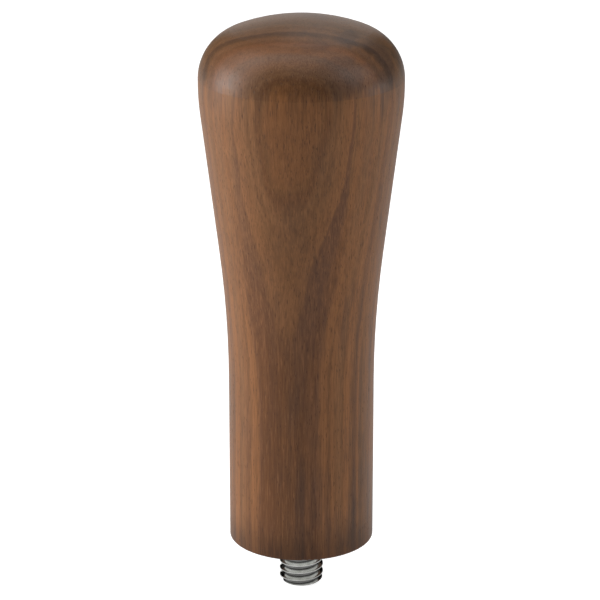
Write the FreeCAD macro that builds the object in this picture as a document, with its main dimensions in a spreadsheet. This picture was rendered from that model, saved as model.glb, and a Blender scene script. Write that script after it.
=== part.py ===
import FreeCAD, Part
import math
import os
import Sketcher

# Espresso tamper handle: a turned walnut grip, and a threaded stud that a bonded insert holds in it.
#
# Millimetres. The origin is the centre of the grip's underside, the face that seats on a tamper base.
# +Z runs up the grip's axis. The stud stands below the underside, so it lies at negative Z.

SIZES = {
    # walnut grip: an outline of tangent lines and arcs from the underside to the crown
    "BaseDiameter": 26.0,
    "StraightHeight": 30.0,
    "NeckRadius": 195.0,
    "ConeAngle": 7.1,
    "BellyDiameter": 35.9,
    "BellyRadius": 45.0,
    "ShoulderRadius": 9.0,
    "DomeRadius": 33.5,
    "GripHeight": 96.0,
    "BaseEdgeRadius": 0.3,
    "BoreDiameter": 10.4,
    "BoreDepth": 16.6,
    "BoreChamfer": 0.4,
    # 5/16-18 unified coarse thread, shared by the stud and the insert
    "ThreadDiameter": 7.9,
    "ThreadPitch": 1.411,
    "ThreadDepth": 0.84,
    "ThreadCrestFlat": 0.18,
    "ThreadRun": 0.1,
    "ThreadTurn": -56.0,
    # threaded stud
    "StudLength": 25.4,
    "StudExposed": 9.2,
    "StudTipChamfer": 0.55,
    "StudEndChamfer": 0.8,
    "StudThreadStart": -8,
    "StudThreadTurns": 21,
    "ReliefDiameter": 6.1,
    "ReliefHeight": 0.7,
    "SocketFlats": 3.97,
    "SocketDepth": 4.5,
    # threaded insert
    "InsertDiameter": 10.3,
    "InsertLength": 15.0,
    "InsertRecess": 0.2,
    "InsertChamfer": 0.5,
    "InsertBore": 6.5,
    "InsertWaistDepth": 0.7,
    "InsertWaistWidth": 1.2,
    "InsertThreadTurns": 13,
    "KnurlDepth": 0.35,
    "KnurlCount": 24,
    "ThreadClearance": 0.06,
}

# The stud's blank is this many equal sectors, so each thread crest is a chain of short faces.
SECTORS = 8

# Half of the 60 degree thread form, as the slope of a flank.
FLANK = "tan(30)"

UP = FreeCAD.Vector(0, 0, 1)

doc = FreeCAD.newDocument("TamperHandle")
sheet = doc.addObject("Spreadsheet::Sheet", "Sizes")
for row, (alias, number) in enumerate(SIZES.items(), start=1):
    sheet.set(f"A{row}", alias)
    sheet.set(f"B{row}", str(number))
    sheet.setAlias(f"B{row}", alias)
doc.recompute()


def value(expression):
    """The number that an expression over the sheet's sizes comes to."""
    return float(sheet.evalExpression(expression))


def vector(x, y):
    return FreeCAD.Vector(x, y, 0)


def add_body(label):
    body = doc.addObject("PartDesign::Body", label)
    body.Label = label
    return body


def add_feature(body, kind, name, sketch=None):
    """A feature that leaves its faces as they are cut, without merging neighbours."""
    feature = body.newObject(f"PartDesign::{kind}", name)
    feature.Refine = False
    if sketch is not None:
        feature.Profile = sketch
    return feature


def origin_feature(body, role):
    return next(item for item in body.Origin.OriginFeatures if item.Role == role)


def add_sketch(body, name, plane="XZ_Plane"):
    sketch = body.newObject("Sketcher::SketchObject", name)
    sketch.AttachmentSupport = [(origin_feature(body, plane), "")]
    sketch.MapMode = "FlatFace"
    return sketch


def dimension(sketch, name, expression, kind, *where):
    """Adds a named dimension to a sketch and binds it to the sheet."""
    index = sketch.addConstraint(Sketcher.Constraint(kind, *where, value(expression)))
    sketch.renameConstraint(index, name)
    sketch.setExpression(f"Constraints.{name}", expression)


def add_polygon(body, name, corners, plane="XZ_Plane"):
    """A closed polygon sketch. corners maps each corner's name to its two expressions, across and up."""
    sketch = add_sketch(body, name, plane)
    points = [vector(value(across), value(up)) for across, up in corners.values()]
    count = len(points)
    for i in range(count):
        sketch.addGeometry(Part.LineSegment(points[i], points[(i + 1) % count]), False)
    for i in range(count):
        sketch.addConstraint(Sketcher.Constraint("Coincident", i, 2, (i + 1) % count, 1))
    for i, (corner, (across, up)) in enumerate(corners.items()):
        dimension(sketch, f"{corner}Across", across, "DistanceX", -1, 1, i, 1)
        dimension(sketch, f"{corner}Up", up, "DistanceY", -1, 1, i, 1)
    return sketch


def add_revolution(body, name, sketch, angle):
    revolution = add_feature(body, "Revolution", name, sketch)
    revolution.ReferenceAxis = (sketch, ["V_Axis"])
    revolution.Angle = angle
    return revolution


def add_pattern(body, name, original, count_expression):
    """Repeats a feature evenly around the body's Z axis."""
    pattern = add_feature(body, "PolarPattern", name)
    pattern.Originals = [original]
    pattern.Axis = (origin_feature(body, "Z_Axis"), [""])
    pattern.Angle = 360
    pattern.setExpression("Occurrences", count_expression)
    body.Tip = pattern
    return pattern


def add_thread(body, name, sketch, turns_expression):
    """Cuts a right-handed helical groove with the sketch as its section."""
    thread = add_feature(body, "SubtractiveHelix", name, sketch)
    thread.ReferenceAxis = (sketch, ["V_Axis"])
    thread.Mode = "pitch-height-angle"
    thread.setExpression("Pitch", "Sizes.ThreadPitch")
    thread.setExpression("Height", f"Sizes.ThreadPitch * {turns_expression}")
    return thread


def rim(shape, radius, height):
    """The name of the edge that is a full circle of this radius at this height."""
    return [
        f"Edge{number}"
        for number, edge in enumerate(shape.Edges, start=1)
        if edge.Closed
        and math.isclose(edge.Length, 2 * math.pi * radius, abs_tol=1e-3)
        and math.isclose(edge.CenterOfMass.z, height, abs_tol=1e-3)
    ]


# ---- walnut grip -------------------------------------------------------------------------------


def grip_points():
    """Where the lines and arcs of the grip's outline meet, and the centres of the arcs.

    Going up: the straight side, the hollow neck arc, the cone, the belly arc, the shoulder arc and
    the dome, each tangent to the next. The neck's centre is level with the top of the straight side,
    and the dome's centre is on the axis.
    """
    base, straight = value("Sizes.BaseDiameter / 2"), value("Sizes.StraightHeight")
    neck, belly = value("Sizes.NeckRadius"), value("Sizes.BellyRadius")
    shoulder, dome = value("Sizes.ShoulderRadius"), value("Sizes.DomeRadius")
    slope = math.radians(value("Sizes.ConeAngle"))
    neck_centre = vector(base + neck, straight)
    cone_foot = neck_centre - vector(neck * math.cos(slope), -neck * math.sin(slope))
    belly_x = value("Sizes.BellyDiameter / 2") - belly
    cone_top_x = belly_x + belly * math.cos(slope)
    cone_top = vector(cone_top_x, cone_foot.y + (cone_top_x - cone_foot.x) / math.tan(slope))
    belly_centre = vector(belly_x, cone_top.y + belly * math.sin(slope))
    dome_centre = vector(0, value("Sizes.GripHeight") - dome)
    # the shoulder's centre lies at known distances from the belly's and the dome's centres
    span = dome_centre - belly_centre
    along = ((belly - shoulder) ** 2 - (dome - shoulder) ** 2 + span.Length**2) / (2 * span.Length)
    aside = math.sqrt((belly - shoulder) ** 2 - along**2)
    across = vector(-span.y, span.x) / span.Length
    shoulder_centre = belly_centre + span * (along / span.Length) + across * aside
    return {
        "cone_foot": cone_foot,
        "cone_top": cone_top,
        "neck_centre": neck_centre,
        "belly_centre": belly_centre,
        "shoulder_centre": shoulder_centre,
        "dome_centre": dome_centre,
    }


def add_arc(sketch, centre, radius, start_angle, end_angle):
    circle = Part.Circle(centre, UP, radius)
    return sketch.addGeometry(Part.ArcOfCircle(circle, start_angle, end_angle), False)


def direction(origin, target):
    return math.atan2(target.y - origin.y, target.x - origin.x)


def grip_outline(body):
    sketch = add_sketch(body, "GripOutline")
    at = grip_points()
    base, height = value("Sizes.BaseDiameter / 2"), value("Sizes.GripHeight")
    slope = math.radians(value("Sizes.ConeAngle"))
    low_turn = direction(at["belly_centre"], at["shoulder_centre"])
    high_turn = direction(at["dome_centre"], at["shoulder_centre"])
    corner, side_top = vector(base, 0), vector(base, value("Sizes.StraightHeight"))
    crown = vector(0, height)

    underside = sketch.addGeometry(Part.LineSegment(vector(0, 0), corner), False)
    side = sketch.addGeometry(Part.LineSegment(corner, side_top), False)
    neck = add_arc(sketch, at["neck_centre"], value("Sizes.NeckRadius"), math.pi - slope, math.pi)
    cone = sketch.addGeometry(Part.LineSegment(at["cone_foot"], at["cone_top"]), False)
    belly = add_arc(sketch, at["belly_centre"], value("Sizes.BellyRadius"), -slope, low_turn)
    shoulder = add_arc(sketch, at["shoulder_centre"], value("Sizes.ShoulderRadius"), low_turn, high_turn)
    dome = add_arc(sketch, at["dome_centre"], value("Sizes.DomeRadius"), high_turn, math.pi / 2)
    axis = sketch.addGeometry(Part.LineSegment(crown, vector(0, 0)), False)

    for first, first_end, second, second_end in (
        (side, 2, neck, 2),
        (neck, 1, cone, 1),
        (cone, 2, belly, 1),
        (belly, 2, shoulder, 1),
        (shoulder, 2, dome, 1),
    ):
        sketch.addConstraint(Sketcher.Constraint("Tangent", first, first_end, second, second_end))
    for first, first_end, second, second_end in (
        (underside, 1, -1, 1),
        (underside, 2, side, 1),
        (dome, 2, axis, 1),
        (axis, 2, underside, 1),
    ):
        sketch.addConstraint(Sketcher.Constraint("Coincident", first, first_end, second, second_end))
    sketch.addConstraint(Sketcher.Constraint("Horizontal", underside))
    sketch.addConstraint(Sketcher.Constraint("Vertical", side))
    sketch.addConstraint(Sketcher.Constraint("Vertical", axis))
    sketch.addConstraint(Sketcher.Constraint("PointOnObject", dome, 3, -2))

    dimension(sketch, "BaseRadius", "Sizes.BaseDiameter / 2", "DistanceX", underside, 1, underside, 2)
    dimension(sketch, "StraightHeight", "Sizes.StraightHeight", "DistanceY", side, 1, side, 2)
    dimension(sketch, "NeckRadius", "Sizes.NeckRadius", "Radius", neck)
    dimension(sketch, "BellyRadius", "Sizes.BellyRadius", "Radius", belly)
    dimension(sketch, "ShoulderRadius", "Sizes.ShoulderRadius", "Radius", shoulder)
    dimension(sketch, "DomeRadius", "Sizes.DomeRadius", "Radius", dome)
    dimension(sketch, "GripHeight", "Sizes.GripHeight", "DistanceY", axis, 2, axis, 1)
    belly_offset = "Sizes.BellyRadius - Sizes.BellyDiameter / 2"
    dimension(sketch, "BellyOffset", belly_offset, "DistanceX", belly, 3, -1, 1)
    lean = sketch.addConstraint(Sketcher.Constraint("Angle", cone, math.pi / 2 - slope))
    sketch.renameConstraint(lean, "ConeLean")
    sketch.setExpression("Constraints.ConeLean", "(90 - Sizes.ConeAngle) * 1 deg")
    return sketch


def bore_circle(body):
    sketch = add_sketch(body, "BoreCircle", "XY_Plane")
    circle = Part.Circle(vector(0, 0), UP, value("Sizes.BoreDiameter / 2"))
    sketch.addGeometry(circle, False)
    sketch.addConstraint(Sketcher.Constraint("Coincident", 0, 3, -1, 1))
    dimension(sketch, "BoreRadius", "Sizes.BoreDiameter / 2", "Radius", 0)
    return sketch


def build_grip():
    body = add_body("walnut_grip")
    turned = add_revolution(body, "TurnedGrip", grip_outline(body), 360)
    bore = add_feature(body, "Pocket", "InsertBore", bore_circle(body))
    bore.Reversed = True
    bore.setExpression("Length", "Sizes.BoreDepth")
    doc.recompute()

    chamfer = add_feature(body, "Chamfer", "BoreMouth")
    chamfer.Base = (bore, rim(bore.Shape, value("Sizes.BoreDiameter / 2"), 0))
    chamfer.setExpression("Size", "Sizes.BoreChamfer")
    doc.recompute()

    edge = add_feature(body, "Fillet", "BaseEdge")
    edge.Base = (chamfer, rim(chamfer.Shape, value("Sizes.BaseDiameter / 2"), 0))
    edge.setExpression("Radius", "Sizes.BaseEdgeRadius")
    return body, [(turned, bore), (bore, chamfer), (chamfer, edge)]


# ---- threaded stud -----------------------------------------------------------------------------

CREST = "Sizes.ThreadDiameter / 2"
STUD_END = "Sizes.StudLength - Sizes.StudExposed"


def stud_section(body):
    """Half of the stud's blank: two threaded lengths with a narrow thread relief at the seat."""
    relief = "Sizes.ReliefDiameter / 2"
    step = f"({CREST} - {relief})"
    return add_polygon(
        body,
        "StudSection",
        {
            "TipCentre": ("0", "-Sizes.StudExposed"),
            "TipEdge": (f"{CREST} - Sizes.StudTipChamfer", "-Sizes.StudExposed"),
            "TipShoulder": (CREST, "Sizes.StudTipChamfer - Sizes.StudExposed"),
            "ReliefFoot": (CREST, f"-Sizes.ReliefHeight - {step}"),
            "ReliefLow": (relief, "-Sizes.ReliefHeight"),
            "ReliefHigh": (relief, "Sizes.InsertRecess"),
            "ReliefHead": (CREST, f"Sizes.InsertRecess + {step}"),
            "EndShoulder": (CREST, f"{STUD_END} - Sizes.StudEndChamfer"),
            "EndEdge": (f"{CREST} - Sizes.StudEndChamfer", STUD_END),
            "EndCentre": ("0", STUD_END),
        },
    )


def socket_hexagon(body):
    """The outline of the hex key socket, on the stud's inner end."""
    sketch = add_sketch(body, "SocketHexagon", "XY_Plane")
    sketch.setExpression("AttachmentOffset.Base.z", STUD_END)
    across_corners = "Sizes.SocketFlats / cos(30)"
    reach = value(across_corners) / 2
    turns = [math.radians(60 * i) for i in range(6)]
    corners = [vector(reach * math.cos(turn), reach * math.sin(turn)) for turn in turns]
    for i in range(6):
        sketch.addGeometry(Part.LineSegment(corners[i], corners[(i + 1) % 6]), False)
    guide = sketch.addGeometry(Part.Circle(vector(0, 0), UP, reach), True)
    for i in range(6):
        sketch.addConstraint(Sketcher.Constraint("Coincident", i, 2, (i + 1) % 6, 1))
        sketch.addConstraint(Sketcher.Constraint("PointOnObject", i, 1, guide))
    for i in range(5):
        sketch.addConstraint(Sketcher.Constraint("Equal", i, i + 1))
    sketch.addConstraint(Sketcher.Constraint("Coincident", guide, 3, -1, 1))
    sketch.addConstraint(Sketcher.Constraint("PointOnObject", 0, 1, -1))
    dimension(sketch, "AcrossCorners", across_corners, "Diameter", guide)
    return sketch


def stud_groove(body):
    """The section of the stud's thread groove, wider towards its mouth, just beyond the tip."""
    middle = "Sizes.ThreadPitch * Sizes.StudThreadStart"
    half_gap = "(Sizes.ThreadPitch - Sizes.ThreadCrestFlat) / 2"
    wide = f"({half_gap} + Sizes.ThreadRun * {FLANK})"
    narrow = f"({half_gap} - Sizes.ThreadDepth * {FLANK})"
    root, mouth = f"{CREST} - Sizes.ThreadDepth", f"{CREST} + Sizes.ThreadRun"
    return add_polygon(
        body,
        "StudGroove",
        {
            "RootLow": (root, f"{middle} - {narrow}"),
            "MouthLow": (mouth, f"{middle} - {wide}"),
            "MouthHigh": (mouth, f"{middle} + {wide}"),
            "RootHigh": (root, f"{middle} + {narrow}"),
        },
    )


def build_stud():
    body = add_body("threaded_stud")
    body.setExpression("Placement.Rotation.Angle", "Sizes.ThreadTurn")
    sector = add_revolution(body, "StudSector", stud_section(body), 360 / SECTORS)
    blank = add_pattern(body, "StudBlank", sector, str(SECTORS))
    socket = add_feature(body, "Pocket", "HexSocket", socket_hexagon(body))
    socket.setExpression("Length", "Sizes.SocketDepth")
    thread = add_thread(body, "StudThread", stud_groove(body), "Sizes.StudThreadTurns")
    return body, [(blank, socket), (socket, thread)]


# ---- threaded insert ---------------------------------------------------------------------------

INSERT_SIDE = "Sizes.InsertDiameter / 2"
INSERT_BORE = "Sizes.InsertBore / 2"


def insert_section(body):
    """Half of the insert's sleeve: chamfered ends, and a waist halfway up that keys into the glue."""
    low_waist = "(Sizes.InsertLength - Sizes.InsertWaistWidth) / 2"
    high_waist = "(Sizes.InsertLength + Sizes.InsertWaistWidth) / 2"
    return add_polygon(
        body,
        "InsertSection",
        {
            "MouthInner": (f"{INSERT_BORE} + Sizes.InsertChamfer", "0"),
            "MouthOuter": (f"{INSERT_SIDE} - Sizes.InsertChamfer", "0"),
            "LowShoulder": (INSERT_SIDE, "Sizes.InsertChamfer"),
            "WaistLow": (INSERT_SIDE, f"{low_waist} - Sizes.InsertWaistDepth"),
            "WaistFoot": (f"{INSERT_SIDE} - Sizes.InsertWaistDepth", low_waist),
            "WaistHead": (f"{INSERT_SIDE} - Sizes.InsertWaistDepth", high_waist),
            "WaistHigh": (INSERT_SIDE, f"{high_waist} + Sizes.InsertWaistDepth"),
            "HighShoulder": (INSERT_SIDE, "Sizes.InsertLength - Sizes.InsertChamfer"),
            "TopOuter": (f"{INSERT_SIDE} - Sizes.InsertChamfer", "Sizes.InsertLength"),
            "TopInner": (f"{INSERT_BORE} + Sizes.InsertChamfer", "Sizes.InsertLength"),
            "BoreHigh": (INSERT_BORE, "Sizes.InsertLength - Sizes.InsertChamfer"),
            "BoreLow": (INSERT_BORE, "Sizes.InsertChamfer"),
        },
    )


def knurl_flute(body):
    """One V-shaped flute of the knurl, with its root towards the axis."""
    mouth = f"{INSERT_SIDE} + Sizes.KnurlDepth"
    return add_polygon(
        body,
        "KnurlFlute",
        {
            "FluteRoot": (f"{INSERT_SIDE} - Sizes.KnurlDepth", "0"),
            "FluteRight": (mouth, "-2 * Sizes.KnurlDepth"),
            "FluteLeft": (mouth, "2 * Sizes.KnurlDepth"),
        },
        plane="XY_Plane",
    )


def insert_groove(body):
    """The section of the insert's thread groove, just below the insert.

    It is the stud's ridge made larger all round by the clearance. The ridge is half a pitch from the
    stud's own groove, and the insert stands the recess above the underside.
    """
    middle = "(-Sizes.ThreadPitch / 2 - Sizes.InsertRecess)"
    gap = "Sizes.ThreadClearance / cos(30)"
    reach = f"({CREST} - {INSERT_BORE} + Sizes.ThreadRun)"
    wide = f"(Sizes.ThreadCrestFlat / 2 + {reach} * {FLANK} + {gap})"
    narrow = f"(Sizes.ThreadCrestFlat / 2 - Sizes.ThreadClearance * {FLANK} + {gap})"
    mouth, root = f"{INSERT_BORE} - Sizes.ThreadRun", f"{CREST} + Sizes.ThreadClearance"
    return add_polygon(
        body,
        "InsertGroove",
        {
            "MouthLow": (mouth, f"{middle} - {wide}"),
            "RootLow": (root, f"{middle} - {narrow}"),
            "RootHigh": (root, f"{middle} + {narrow}"),
            "MouthHigh": (mouth, f"{middle} + {wide}"),
        },
    )


def build_insert():
    body = add_body("threaded_insert")
    body.setExpression("Placement.Base.z", "Sizes.InsertRecess")
    body.setExpression("Placement.Rotation.Angle", "Sizes.ThreadTurn")
    sleeve = add_revolution(body, "InsertSleeve", insert_section(body), 360)
    flute = add_feature(body, "Pocket", "KnurlCut", knurl_flute(body))
    flute.Reversed = True
    flute.setExpression("Length", "Sizes.InsertLength")
    knurl = add_pattern(body, "Knurl", flute, "Sizes.KnurlCount")
    thread = add_thread(body, "InsertThread", insert_groove(body), "Sizes.InsertThreadTurns")
    return body, [(sleeve, flute), (flute, knurl), (knurl, thread)]


# ---- checks and export -------------------------------------------------------------------------


def check_states():
    for item in doc.Objects:
        if {"Invalid", "Error"} & set(item.State):
            raise RuntimeError(f"{item.Label} failed: {item.State}")


def check_cut(before, after):
    removed = before.Shape.Volume - after.Shape.Volume
    print(f"{after.Label} removes {removed:.2f} mm3")
    if removed <= 0:
        raise RuntimeError(f"{after.Label} cut nothing")


def check_piece(body):
    shape = body.Shape
    if shape.isNull() or not shape.isValid() or len(shape.Solids) != 1:
        raise RuntimeError(f"{body.Label} is not one valid solid")
    box = shape.optimalBoundingBox()
    print(f"{body.Label}: {shape.Volume:.1f} mm3, z {box.ZMin:.3f} to {box.ZMax:.3f}")


def main():
    built = [build_grip(), build_insert(), build_stud()]
    doc.recompute()
    check_states()
    os.makedirs("parts", exist_ok=True)
    for body, cuts in built:
        for before, after in cuts:
            check_cut(before, after)
        check_piece(body)
        body.Shape.exportStep(f"parts/{body.Label}.step")


main()
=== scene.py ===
import math

import bpy
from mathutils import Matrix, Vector


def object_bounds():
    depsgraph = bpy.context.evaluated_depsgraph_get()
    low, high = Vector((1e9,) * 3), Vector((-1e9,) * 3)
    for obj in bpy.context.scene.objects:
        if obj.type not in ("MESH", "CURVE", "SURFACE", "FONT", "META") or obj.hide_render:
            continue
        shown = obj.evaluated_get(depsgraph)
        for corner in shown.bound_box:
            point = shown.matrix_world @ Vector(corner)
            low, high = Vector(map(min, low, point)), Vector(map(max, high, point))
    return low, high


# A walnut tamper handle on a pale floor. The three CAD pieces keep their shapes. This script gives them
# their materials and adds the camera, the floor and the lights.

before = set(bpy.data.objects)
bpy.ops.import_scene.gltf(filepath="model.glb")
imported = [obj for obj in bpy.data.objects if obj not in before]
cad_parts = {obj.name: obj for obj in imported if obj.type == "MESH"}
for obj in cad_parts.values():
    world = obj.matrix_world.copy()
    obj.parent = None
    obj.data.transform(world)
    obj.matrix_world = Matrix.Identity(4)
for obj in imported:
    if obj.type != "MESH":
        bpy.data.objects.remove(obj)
cad_low, cad_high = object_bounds()

MM = 0.001  # in metres, which is what Blender takes

# ---- camera ------------------------------------------------------------------------------------

VIEW_DISTANCE = 490 * MM
VIEW_ELEVATION = math.radians(18.6)
AIM_LIFT = 1.35 * MM  # the view aims this much above the middle of the object
LENS_MM = 165.5
SENSOR_MM = 36
NEAREST = 10 * MM
SIDE_SHIFT = -0.0023  # the object stands a hair right of the middle of the picture

centre = (cad_low + cad_high) / 2


def add_camera():
    aim = centre + Vector((0, 0, AIM_LIFT))
    back = Vector((0, -math.cos(VIEW_ELEVATION), math.sin(VIEW_ELEVATION)))
    data = bpy.data.cameras.new("camera")
    data.lens = LENS_MM
    data.sensor_width = SENSOR_MM
    data.shift_x = SIDE_SHIFT
    data.clip_start = NEAREST
    camera = bpy.data.objects.new("camera", data)
    camera.location = aim + back * VIEW_DISTANCE
    camera.rotation_euler = (math.pi / 2 - VIEW_ELEVATION, 0, 0)
    bpy.context.collection.objects.link(camera)
    bpy.context.scene.camera = camera


# ---- shader node helper ------------------------------------------------------------------------

# most of a noise's values lie in the first span, and nearly all in the second
NOISE_SPAN = (0.3, 0.7)
WIDE_SPAN = (0.2, 0.8)


class Nodes:
    """Makes the nodes of one material. A socket argument is a number, a colour or another node's output."""

    def __init__(self, name):
        self.material = bpy.data.materials.new(name)
        self.material.use_nodes = True
        self.tree = self.material.node_tree
        self.tree.nodes.clear()
        self.output = self.tree.nodes.new("ShaderNodeOutputMaterial")

    def put(self, socket, value):
        if isinstance(value, bpy.types.NodeSocket):
            self.tree.links.new(value, socket)
        else:
            socket.default_value = value

    def node(self, kind, inputs=None, **settings):
        """A new node with its settings set and its inputs filled."""
        node = self.tree.nodes.new(kind)
        for key, value in settings.items():
            setattr(node, key, value)
        for key, value in (inputs or {}).items():
            self.put(node.inputs[key], value)
        return node

    def math(self, operation, *values):
        return self.node("ShaderNodeMath", dict(enumerate(values)), operation=operation).outputs[0]

    def add(self, first, second):
        return self.math("ADD", first, second)

    def subtract(self, first, second):
        return self.math("SUBTRACT", first, second)

    def multiply(self, *values):
        product = values[0]
        for value in values[1:]:
            product = self.math("MULTIPLY", product, value)
        return product

    def vector_math(self, operation, first, second):
        return self.node("ShaderNodeVectorMath", {0: first, 1: second}, operation=operation).outputs[0]

    def stretch(self, point, x, y, z):
        return self.vector_math("MULTIPLY", point, (x, y, z))

    def split(self, vector):
        """The x, y and z of a vector."""
        outputs = self.node("ShaderNodeSeparateXYZ", {0: vector}).outputs
        return outputs[0], outputs[1], outputs[2]

    def position(self):
        """The point in millimetres, in the CAD's frame."""
        return self.stretch(self.node("ShaderNodeTexCoord").outputs["Object"], 1 / MM, 1 / MM, 1 / MM)

    def facing_up(self):
        """How far the surface faces up: 1 is straight up, -1 is straight down."""
        return self.split(self.node("ShaderNodeTexCoord").outputs["Normal"])[2]

    def noise(self, point, across, along, detail, roughness=0.5):
        """A cloudy value. Larger across and along make it change faster across and along the axis."""
        point = self.stretch(point, across, across, along)
        inputs = {"Vector": point, "Scale": 1.0, "Detail": detail, "Roughness": roughness}
        return self.node("ShaderNodeTexNoise", inputs).outputs["Fac"]

    def ramp(self, value, low, high, out_low=0.0, out_high=1.0, kind="SMOOTHSTEP"):
        """Goes from out_low to out_high while value goes from low to high, and is level outside that."""
        inputs = {"Value": value, "From Min": low, "From Max": high, "To Min": out_low, "To Max": out_high}
        return self.node("ShaderNodeMapRange", inputs, interpolation_type=kind).outputs["Result"]

    def mix(self, factor, first, second, blend="MIX"):
        node = self.node("ShaderNodeMix", data_type="RGBA", blend_type=blend)
        factor_input, first_input, second_input = node.inputs[0], node.inputs[6], node.inputs[7]
        self.put(factor_input, factor)
        self.put(first_input, first)
        self.put(second_input, second)
        return node.outputs[2]

    def tint(self, factor, base, colour):
        """The base multiplied by a colour, as far as the factor says."""
        return self.mix(factor, base, self.mix(1.0, base, colour, blend="MULTIPLY"))

    def colour_ramp(self, value, stops):
        node = self.node("ShaderNodeValToRGB", {"Fac": value})
        ramp = node.color_ramp
        while len(ramp.elements) > 1:
            ramp.elements.remove(ramp.elements[-1])
        ramp.elements[0].position, ramp.elements[0].color = stops[0]
        for place, colour in stops[1:]:
            ramp.elements.new(place).color = colour
        return node.outputs["Color"]

    def bump(self, height, distance, strength):
        inputs = {"Height": height, "Distance": distance, "Strength": strength}
        return self.node("ShaderNodeBump", inputs).outputs["Normal"]

    def surface(self, **inputs):
        """The finished material. An input's name has _ for each space."""
        shader = self.node("ShaderNodeBsdfPrincipled")
        for name, value in inputs.items():
            self.put(shader.inputs[name.replace("_", " ")], value)
        self.put(self.output.inputs["Surface"], shader.outputs[0])
        return self.material


# ---- walnut: rings -----------------------------------------------------------------------------

# Heights, depths and radii in the materials are in millimetres. Bump distances are in metres.
#
# The rings are upright sheets that face a little left of the view. A ring is known by its depth, which is
# negative in front of the grip's axis. The flared front cuts the sheets in nested Vs.
FACE_TURN = 0.187  # how far the sheets turn to the left at the foot
TURN_START = 43.0  # above this height the turn lessens
TURN_LOSS = 0.00226  # for each mm of height
BACKWARD = 0.985  # how much depth a step straight back adds
LEAN_START = 70.0  # above this height the sheets lean forward
LEAN = 0.05  # for each mm of height
CROWN_BEND = 0.009  # in the crown the sheets curve back on the left
CROWN_BEND_HEIGHTS = (86, 92)  # it starts at the first height and is full at the second
WANDER = 0.3  # how far a sheet strays either way over centimetres
RIPPLE = 0.16  # and over millimetres

HONEY = (0.250, 0.100, 0.032, 1)
OLIVE = (0.206, 0.088, 0.029, 1)
AMBER = (0.262, 0.107, 0.036, 1)
PALE = (0.290, 0.118, 0.039, 1)
TAN = (0.240, 0.108, 0.041, 1)
UMBER = (0.195, 0.083, 0.030, 1)
PLUM = (0.180, 0.075, 0.031, 1)
DUSK = (0.166, 0.064, 0.021, 1)

# colours met on the way from the front of the blank to its back, near the foot
LOWER_RINGS = (
    (-18.0, OLIVE),
    (-16.3, OLIVE),
    (-16.1, UMBER),
    (-15.6, UMBER),
    (-15.3, OLIVE),
    (-14.2, OLIVE),
    (-13.6, UMBER),
    (-12.9, DUSK),
    (-12.1, DUSK),
    (-11.9, PLUM),
    (-11.7, AMBER),
    (-11.1, PALE),
    (-10.85, UMBER),
    (-10.65, AMBER),
    (-9.6, TAN),
    (-9.15, UMBER),
    (-8.95, PALE),
    (-8.0, PALE),
    (-7.6, UMBER),
    (-6.8, PLUM),
    (-6.4, AMBER),
    (-5.4, OLIVE),
    (-4.4, AMBER),
    (-2.2, UMBER),
    (-1.9, PALE),
    (1.4, OLIVE),
    (3.9, PLUM),
    (4.2, AMBER),
    (8.1, UMBER),
    (8.4, PALE),
    (12.6, DUSK),
    (12.9, TAN),
)
# and near the crown, where the dark heart streak has thinned out
UPPER_RINGS = (
    (-18.0, HONEY),
    (-16.5, HONEY),
    (-16.3, OLIVE),
    (-16.1, DUSK),
    (-15.9, UMBER),
    (-15.6, TAN),
    (-15.4, TAN),
    (-15.3, UMBER),
    (-15.1, TAN),
    (-14.2, AMBER),
    (-13.3, TAN),
    (-12.4, AMBER),
    (-11.0, TAN),
    (-10.1, AMBER),
    (-9.6, OLIVE),
    (-9.1, OLIVE),
    (-8.8, TAN),
    (-7.9, AMBER),
    (-7.5, UMBER),
    (-6.4, PLUM),
    (-6.0, TAN),
    (-4.1, UMBER),
    (-3.8, TAN),
    (-1.2, UMBER),
    (0.8, TAN),
    (3.9, UMBER),
    (4.2, TAN),
    (8.1, UMBER),
    (8.4, AMBER),
    (12.6, PLUM),
    (12.9, TAN),
)
# below the first height the lower rings are alone, and above the second the upper ones
RING_CHANGE = (46.0, 70.0)
RING_SPAN = 18.0  # the colours run from this far in front of the axis to this far behind it

# the end grain of each ring soaks up more oil: what its colour is multiplied by
END_RINGS = (
    (-18.0, (0.66, 0.69, 0.78, 1)),
    (-15.5, (0.66, 0.70, 0.80, 1)),
    (-13.8, (0.72, 0.78, 0.98, 1)),
    (-12.9, (0.68, 0.74, 0.95, 1)),
    (-12.5, (0.78, 0.80, 0.95, 1)),
    (-10.2, (0.72, 0.72, 0.86, 1)),
    (-8.4, (0.68, 0.73, 0.89, 1)),
    (-7.7, (0.56, 0.66, 0.88, 1)),
    (-6.4, (0.52, 0.64, 0.86, 1)),
    (-6.0, (0.70, 0.80, 1.02, 1)),
    (-3.0, (0.66, 0.80, 1.06, 1)),
    (-2.6, (0.58, 0.74, 1.02, 1)),
    (-1.2, (0.68, 0.83, 1.10, 1)),
    (13.0, (0.68, 0.83, 1.10, 1)),
)


def ring_colours(n, depth, rings):
    place = n.ramp(depth, -RING_SPAN, RING_SPAN, kind="LINEAR")
    stops = [((ring + RING_SPAN) / (2 * RING_SPAN), colour) for ring, colour in rings]
    return n.colour_ramp(place, stops)


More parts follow.
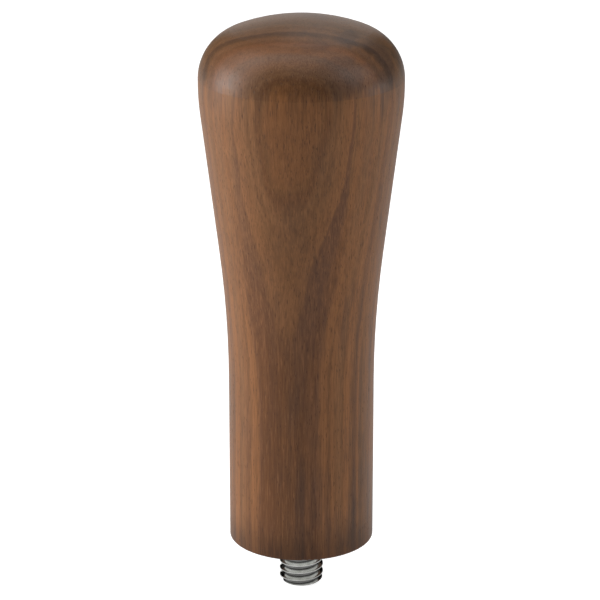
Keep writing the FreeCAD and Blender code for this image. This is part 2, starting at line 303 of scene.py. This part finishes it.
def ring_depth(n, point):
    x, y, z = n.split(point)
    above_turn = n.math("MAXIMUM", n.subtract(z, TURN_START), 0.0)
    turn = n.subtract(FACE_TURN, n.multiply(above_turn, TURN_LOSS))
    above_lean = n.math("MAXIMUM", n.subtract(z, LEAN_START), 0.0)
    depth = n.add(n.multiply(x, turn), n.multiply(y, BACKWARD))
    depth = n.add(depth, n.multiply(above_lean, LEAN))
    left = n.math("MINIMUM", x, 0.0)
    bend = n.multiply(left, left, CROWN_BEND)
    depth = n.subtract(depth, n.multiply(bend, n.ramp(z, *CROWN_BEND_HEIGHTS)))
    wander = n.noise(point, across=0.11, along=0.03, detail=1.0)
    depth = n.add(depth, n.ramp(wander, *WIDE_SPAN, -WANDER, WANDER, kind="LINEAR"))
    ripple = n.noise(point, across=1.0, along=0.12, detail=3.0)
    return n.add(depth, n.ramp(ripple, *WIDE_SPAN, -RIPPLE, RIPPLE, kind="LINEAR"))


# ---- walnut: stain -----------------------------------------------------------------------------

# One ring is stained. The stain starts sharply, ends softly and narrows towards the crown.
STAIN_EDGE = (-13.4, -13.9)  # the depth where it starts, near the tip of the V and higher up
STAIN_EDGE_HEIGHTS = (44, 60)
STAIN_WIDTH = (1.5, 0.35)  # low down and near the crown
STAIN_WIDTH_HEIGHTS = (58, 80)
STAIN_FADE_IN = (34, 46)  # heights where it fades in, and where it fades out
STAIN_FADE_OUT = (83, 87)
STAIN_LEFT = 0.15  # what is left of it above the flare
STAIN_SHARP = (-0.12, 0.08)  # its start, in mm past the edge
STAIN_SOFT = (0.5, 1.15)  # its end, in widths past the edge
STAIN_SIDES = (-8, 3)  # it grows stronger from the first distance right of the axis to the second
STAIN_STRENGTH = (0.5, 0.9)
BORDER_START = (-0.75, -0.35)  # mm past the edge
BORDER_END = (-0.12, 0.0)
BORDER_STRENGTH = 0.5
STAIN_COLOUR = (0.145, 0.062, 0.030, 1)
BORDER_COLOUR = (0.285, 0.122, 0.046, 1)


def stain(n, base, depth, side, height):
    """The dark edge of the widest V, with a pale border inside it. It is stronger on the right."""
    edge = n.ramp(height, *STAIN_EDGE_HEIGHTS, *STAIN_EDGE)
    width = n.ramp(height, *STAIN_WIDTH_HEIGHTS, *STAIN_WIDTH)
    past = n.subtract(depth, edge)
    starts = n.ramp(past, *STAIN_SHARP)
    ends = n.ramp(n.math("DIVIDE", past, width), *STAIN_SOFT, 1.0, 0.0)
    on_flare = n.multiply(n.ramp(height, *STAIN_FADE_IN), n.ramp(height, *STAIN_FADE_OUT, 1.0, STAIN_LEFT))
    band = n.multiply(starts, ends, on_flare, n.ramp(side, *STAIN_SIDES, *STAIN_STRENGTH))
    border = n.multiply(n.ramp(past, *BORDER_START), n.ramp(past, *BORDER_END, 1.0, 0.0), on_flare)
    border = n.multiply(border, BORDER_STRENGTH)
    return n.mix(band, n.mix(border, base, BORDER_COLOUR), STAIN_COLOUR)


# ---- walnut: grain and end grain ---------------------------------------------------------------

STREAK_DARK = (0.140, 0.058, 0.024, 1)
STREAK_LIGHT = (0.310, 0.130, 0.050, 1)
CLOUD = (0.220, 0.100, 0.045, 1)
FIBRE_DARK = (0.095, 0.040, 0.018, 1)
FIBRE_LIGHT = (0.380, 0.165, 0.066, 1)
PORE = (0.055, 0.023, 0.011, 1)

# what a colour is multiplied by
BLOT_TINT = (0.50, 0.62, 0.92, 1)
FOOT_TINT = (0.56, 0.54, 0.50, 1)

FOOT_DARKENING_HEIGHT = 8.0  # below this height the wood grows darker towards the foot
BLOT_NOISE = (0.44, 0.58)  # the noise where a blot starts and where it is full
BLOT_SIDES = (-4, 9)  # the blots grow stronger from the first distance right of the axis to the second
BLOT_STRENGTH = (0.15, 1.0)
BLOT_SHARE = 0.6  # how strong the strongest blots are

# End grain shows where the surface faces up or down enough: 1 is straight up, -1 is straight down.
CROWN_FACING = (-0.09, 0.22)  # it starts at the first and is full at the second
FOOT_FACING = (-0.9, -0.4)  # it is full at the first and ends at the second
CROWN_STREAKS = 0.07  # how far the streaks push the edge of the crown's end grain either way
CROWN_CLOUDS = 0.09  # and how far the clouds do

GRAIN_DEPTH = 0.03 * MM
GRAIN_STRENGTH = 0.7
FIBRE_RELIEF = 0.6  # how high the fibres stand, as a share of how deep the pores are
PORE_CORE = 0.45  # the share of a pore's radius that is fully dark
PORE_COVER = 0.6
WALNUT_ROUGHNESS = (0.38, 0.46)
PORE_ROUGHNESS = 0.2  # more than the wood round them
CROWN_POLISH = 0.05  # less rough than the sides
WALNUT_SPECULAR = 0.27


def pores(n, point, across, along, radius, seed):
    """Vessels cut lengthwise: short dark lines on the sides, dots on the ends."""
    shifted = n.vector_math("ADD", point, (seed, seed, seed))
    cells = n.node(
        "ShaderNodeTexVoronoi",
        {"Vector": n.stretch(shifted, 1 / across, 1 / across, 1 / along), "Scale": 1.0},
        feature="F1",
    ).outputs["Distance"]
    return n.ramp(cells, radius * PORE_CORE, radius, 1.0, 0.0)


def paint(n, base, noise, start, full, strength, colour):
    """Lays a colour over the base. It starts where the noise has one value and is full at another."""
    return n.mix(n.ramp(noise, start, full, 0.0, strength), base, colour)


def darken_ends(n, base, depth, side, height, crown, blots):
    """End grain on the crown and under the foot, blots on the crown's right, and wood that grows darker
    towards the foot.
    """
    foot = n.ramp(n.facing_up(), *FOOT_FACING, 1.0, 0.0)
    end_grain = n.math("MAXIMUM", crown, foot)
    base = n.tint(end_grain, base, ring_colours(n, depth, END_RINGS))
    growth = n.ramp(side, *BLOT_SIDES, *BLOT_STRENGTH)
    blot = n.multiply(n.ramp(blots, *BLOT_NOISE), growth, crown, BLOT_SHARE)
    base = n.tint(blot, base, BLOT_TINT)
    # the colour grows darker towards the foot, fading out at the given height
    return n.tint(n.ramp(height, 0.0, FOOT_DARKENING_HEIGHT, 1.0, 0.0), base, FOOT_TINT)


def walnut():
    """Oiled walnut with a satin polish."""
    n = Nodes("walnut_oiled")
    point = n.position()
    side, _, height = n.split(point)
    depth = ring_depth(n, point)
    lower = ring_colours(n, depth, LOWER_RINGS)
    upper = ring_colours(n, depth, UPPER_RINGS)
    base = n.mix(n.ramp(height, *RING_CHANGE), lower, upper)
    base = stain(n, base, depth, side, height)

    streak = n.noise(point, across=1.5, along=0.035, detail=5.0, roughness=0.65)
    fibre = n.noise(point, across=5.0, along=0.30, detail=4.0, roughness=0.65)
    cloud = n.noise(point, across=0.25, along=0.06, detail=2.0)
    blots = n.noise(point, across=0.16, along=0.10, detail=3.0, roughness=0.6)
    long_pores = pores(n, point, across=0.55, along=4.5, radius=0.17, seed=3.0)
    short_pores = pores(n, point, across=0.36, along=1.8, radius=0.20, seed=11.0)
    open_grain = n.math("MAXIMUM", long_pores, short_pores)

    base = paint(n, base, streak, start=0.45, full=0.70, strength=0.35, colour=STREAK_DARK)
    base = paint(n, base, streak, start=0.55, full=0.36, strength=0.25, colour=STREAK_LIGHT)
    base = paint(n, base, cloud, start=0.35, full=0.70, strength=0.20, colour=CLOUD)
    base = paint(n, base, fibre, start=0.52, full=0.30, strength=0.50, colour=FIBRE_DARK)
    base = paint(n, base, fibre, start=0.50, full=0.72, strength=0.45, colour=FIBRE_LIGHT)
    base = n.mix(n.multiply(open_grain, PORE_COVER), base, PORE)

    # the edge of the crown's end grain is uneven
    uneven = n.add(n.facing_up(), n.ramp(streak, *NOISE_SPAN, -CROWN_STREAKS, CROWN_STREAKS))
    uneven = n.add(uneven, n.ramp(cloud, *NOISE_SPAN, -CROWN_CLOUDS, CROWN_CLOUDS))
    crown = n.ramp(uneven, *CROWN_FACING)
    base = darken_ends(n, base, depth, side, height, crown, blots)

    relief = n.subtract(n.multiply(fibre, FIBRE_RELIEF), open_grain)
    rough = n.add(n.ramp(fibre, *NOISE_SPAN, *WALNUT_ROUGHNESS), n.multiply(open_grain, PORE_ROUGHNESS))
    return n.surface(
        Base_Color=base,
        Roughness=n.subtract(rough, n.multiply(crown, CROWN_POLISH)),
        Normal=n.bump(relief, GRAIN_DEPTH, GRAIN_STRENGTH),
        Specular_IOR_Level=WALNUT_SPECULAR,
    )


# ---- metals ------------------------------------------------------------------------------------

STEEL_BRIGHT = (0.84, 0.85, 0.83, 1)
STEEL_DULL = (0.70, 0.71, 0.68, 1)
# painted shade: the colour is darkened in the thread grooves, near the root radius
PAINTED_GROOVE_SHADE = (0.12, 0.12, 0.12, 1)
GROOVE_SHADE_RADII = (3.22, 3.55)  # the painted shade is full up to the first radius and stops at the second
GROOVE_SHADE_STRENGTH = 0.8
STEEL_ROUGHNESS = (0.14, 0.20)
TARNISH_ROUGHNESS = 0.08  # more than the bright steel
TOOL_LINE_DEPTH = 0.002 * MM
TOOL_LINE_STRENGTH = 0.4

BRASS_DARK = (0.58, 0.40, 0.17, 1)
BRASS_BRIGHT = (0.74, 0.54, 0.26, 1)
BRASS_ROUGHNESS = (0.28, 0.42)


def steel():
    """Bright steel. Fine tool lines run round the axis, and painted shade darkens the thread grooves."""
    n = Nodes("stud_steel")
    point = n.position()
    lines = n.noise(point, across=0.8, along=14.0, detail=3.0, roughness=0.6)
    tarnish = n.noise(point, across=0.9, along=0.9, detail=4.0)
    x, y, _ = n.split(point)
    radius = n.math("SQRT", n.add(n.multiply(x, x), n.multiply(y, y)))
    # painted shade: the colour darkens towards the thread roots
    groove_shade = n.multiply(n.ramp(radius, *GROOVE_SHADE_RADII, 1.0, 0.0), GROOVE_SHADE_STRENGTH)
    metal = n.mix(n.ramp(tarnish, 0.35, 0.70), STEEL_BRIGHT, STEEL_DULL)
    dulled = n.ramp(tarnish, 0.4, 0.7, 0.0, TARNISH_ROUGHNESS)
    rough = n.add(n.ramp(lines, *NOISE_SPAN, *STEEL_ROUGHNESS), dulled)
    return n.surface(
        Base_Color=n.mix(groove_shade, metal, PAINTED_GROOVE_SHADE),
        Metallic=1.0,
        Roughness=rough,
        Normal=n.bump(lines, TOOL_LINE_DEPTH, TOOL_LINE_STRENGTH),
    )


def brass():
    """Brass that has dulled in patches."""
    n = Nodes("insert_brass")
    grain = n.noise(n.position(), across=4.0, along=4.0, detail=3.0)
    return n.surface(
        Base_Color=n.mix(grain, BRASS_DARK, BRASS_BRIGHT),
        Metallic=1.0,
        Roughness=n.ramp(grain, *NOISE_SPAN, *BRASS_ROUGHNESS),
    )


def wear(node, material):
    """Gives a CAD node its material."""
    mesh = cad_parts[node].data
    mesh.materials.clear()
    mesh.materials.append(material)


# ---- studio ------------------------------------------------------------------------------------

PANEL_SIZE = 300 * MM
PANEL_DISTANCE = 600 * MM
FLOOR_REACH = 4000 * MM

# Each softbox has a compass angle round the object from the viewer (left is negative), a height angle,
# both in degrees, and watts.
SOFTBOXES = {
    "left_floor": (-90, -8, 2.0),
    "left_low": (-90, 15, 1.9),
    "left_front": (-75, 30, 0.4),
    "left_high": (-90, 50, 0.8),
    "left_top": (-90, 70, 0.4),
    "right_floor": (90, -8, 1.0),
    "right_side": (75, 30, 0.6),
    "right_high": (60, 45, 0.4),
    "right_top": (90, 70, 0.4),
    "back_low": (180, 15, 0.2),
    "back_high": (165, 50, 0.3),
    "overhead": (0, 85, 0.4),
    "front_top": (0, 60, 0.2),
}
FLOOR_GREY = (0.5, 0.5, 0.5, 1)
FLOOR_ROUGHNESS = 0.9
FLOOR_LIGHT = 0.3  # how strongly the floor itself shines on the object
FLOOR_GLOW = 0.6  # more that only the camera sees, so that the floor looks white
WHITE = (1, 1, 1, 1)


def add_floor():
    """A pale floor that glows much more to the camera than to the object."""
    n = Nodes("floor_white")
    seen = n.node("ShaderNodeLightPath").outputs["Is Camera Ray"]
    material = n.surface(
        Base_Color=FLOOR_GREY,
        Roughness=FLOOR_ROUGHNESS,
        Specular_IOR_Level=0.0,
        Emission_Color=WHITE,
        Emission_Strength=n.math("MULTIPLY_ADD", seen, FLOOR_GLOW, FLOOR_LIGHT),
    )
    mesh = bpy.data.meshes.new("floor")
    signs = [(-1, -1), (1, -1), (1, 1), (-1, 1)]
    corners = [(x * FLOOR_REACH, y * FLOOR_REACH, cad_low.z) for x, y in signs]
    mesh.from_pydata(corners, [], [(0, 1, 2, 3)])
    mesh.materials.append(material)
    floor = bpy.data.objects.new("floor", mesh)
    bpy.context.collection.objects.link(floor)


def add_softbox(name, compass, height, power):
    """A square light that faces the middle of the object. The two angles are in degrees."""
    data = bpy.data.lights.new(name, "AREA")
    data.size = PANEL_SIZE
    data.energy = power
    light = bpy.data.objects.new(name, data)
    turn = math.radians(compass)
    rise = math.radians(height)
    level = math.cos(rise)
    out = Vector((math.sin(turn) * level, -math.cos(turn) * level, math.sin(rise)))
    light.location = centre + out * PANEL_DISTANCE
    light.rotation_euler = (-out).to_track_quat("-Z", "Y").to_euler()
    bpy.context.collection.objects.link(light)


def add_studio():
    """The softboxes, in a world that is white to the camera and gives no light."""
    world = bpy.data.worlds.new("studio")
    world.use_nodes = True
    tree = world.node_tree
    background = tree.nodes["Background"]
    seen = tree.nodes.new("ShaderNodeLightPath").outputs["Is Camera Ray"]
    tree.links.new(seen, background.inputs["Strength"])
    background.inputs["Color"].default_value = WHITE
    bpy.context.scene.world = world
    for name, (compass, height, power) in SOFTBOXES.items():
        add_softbox(name, compass, height, power)
    bpy.context.scene.view_settings.view_transform = "Standard"


add_camera()
wear("walnut_grip", walnut())
wear("threaded_stud", steel())
wear("threaded_insert", brass())
add_floor()
add_studio()
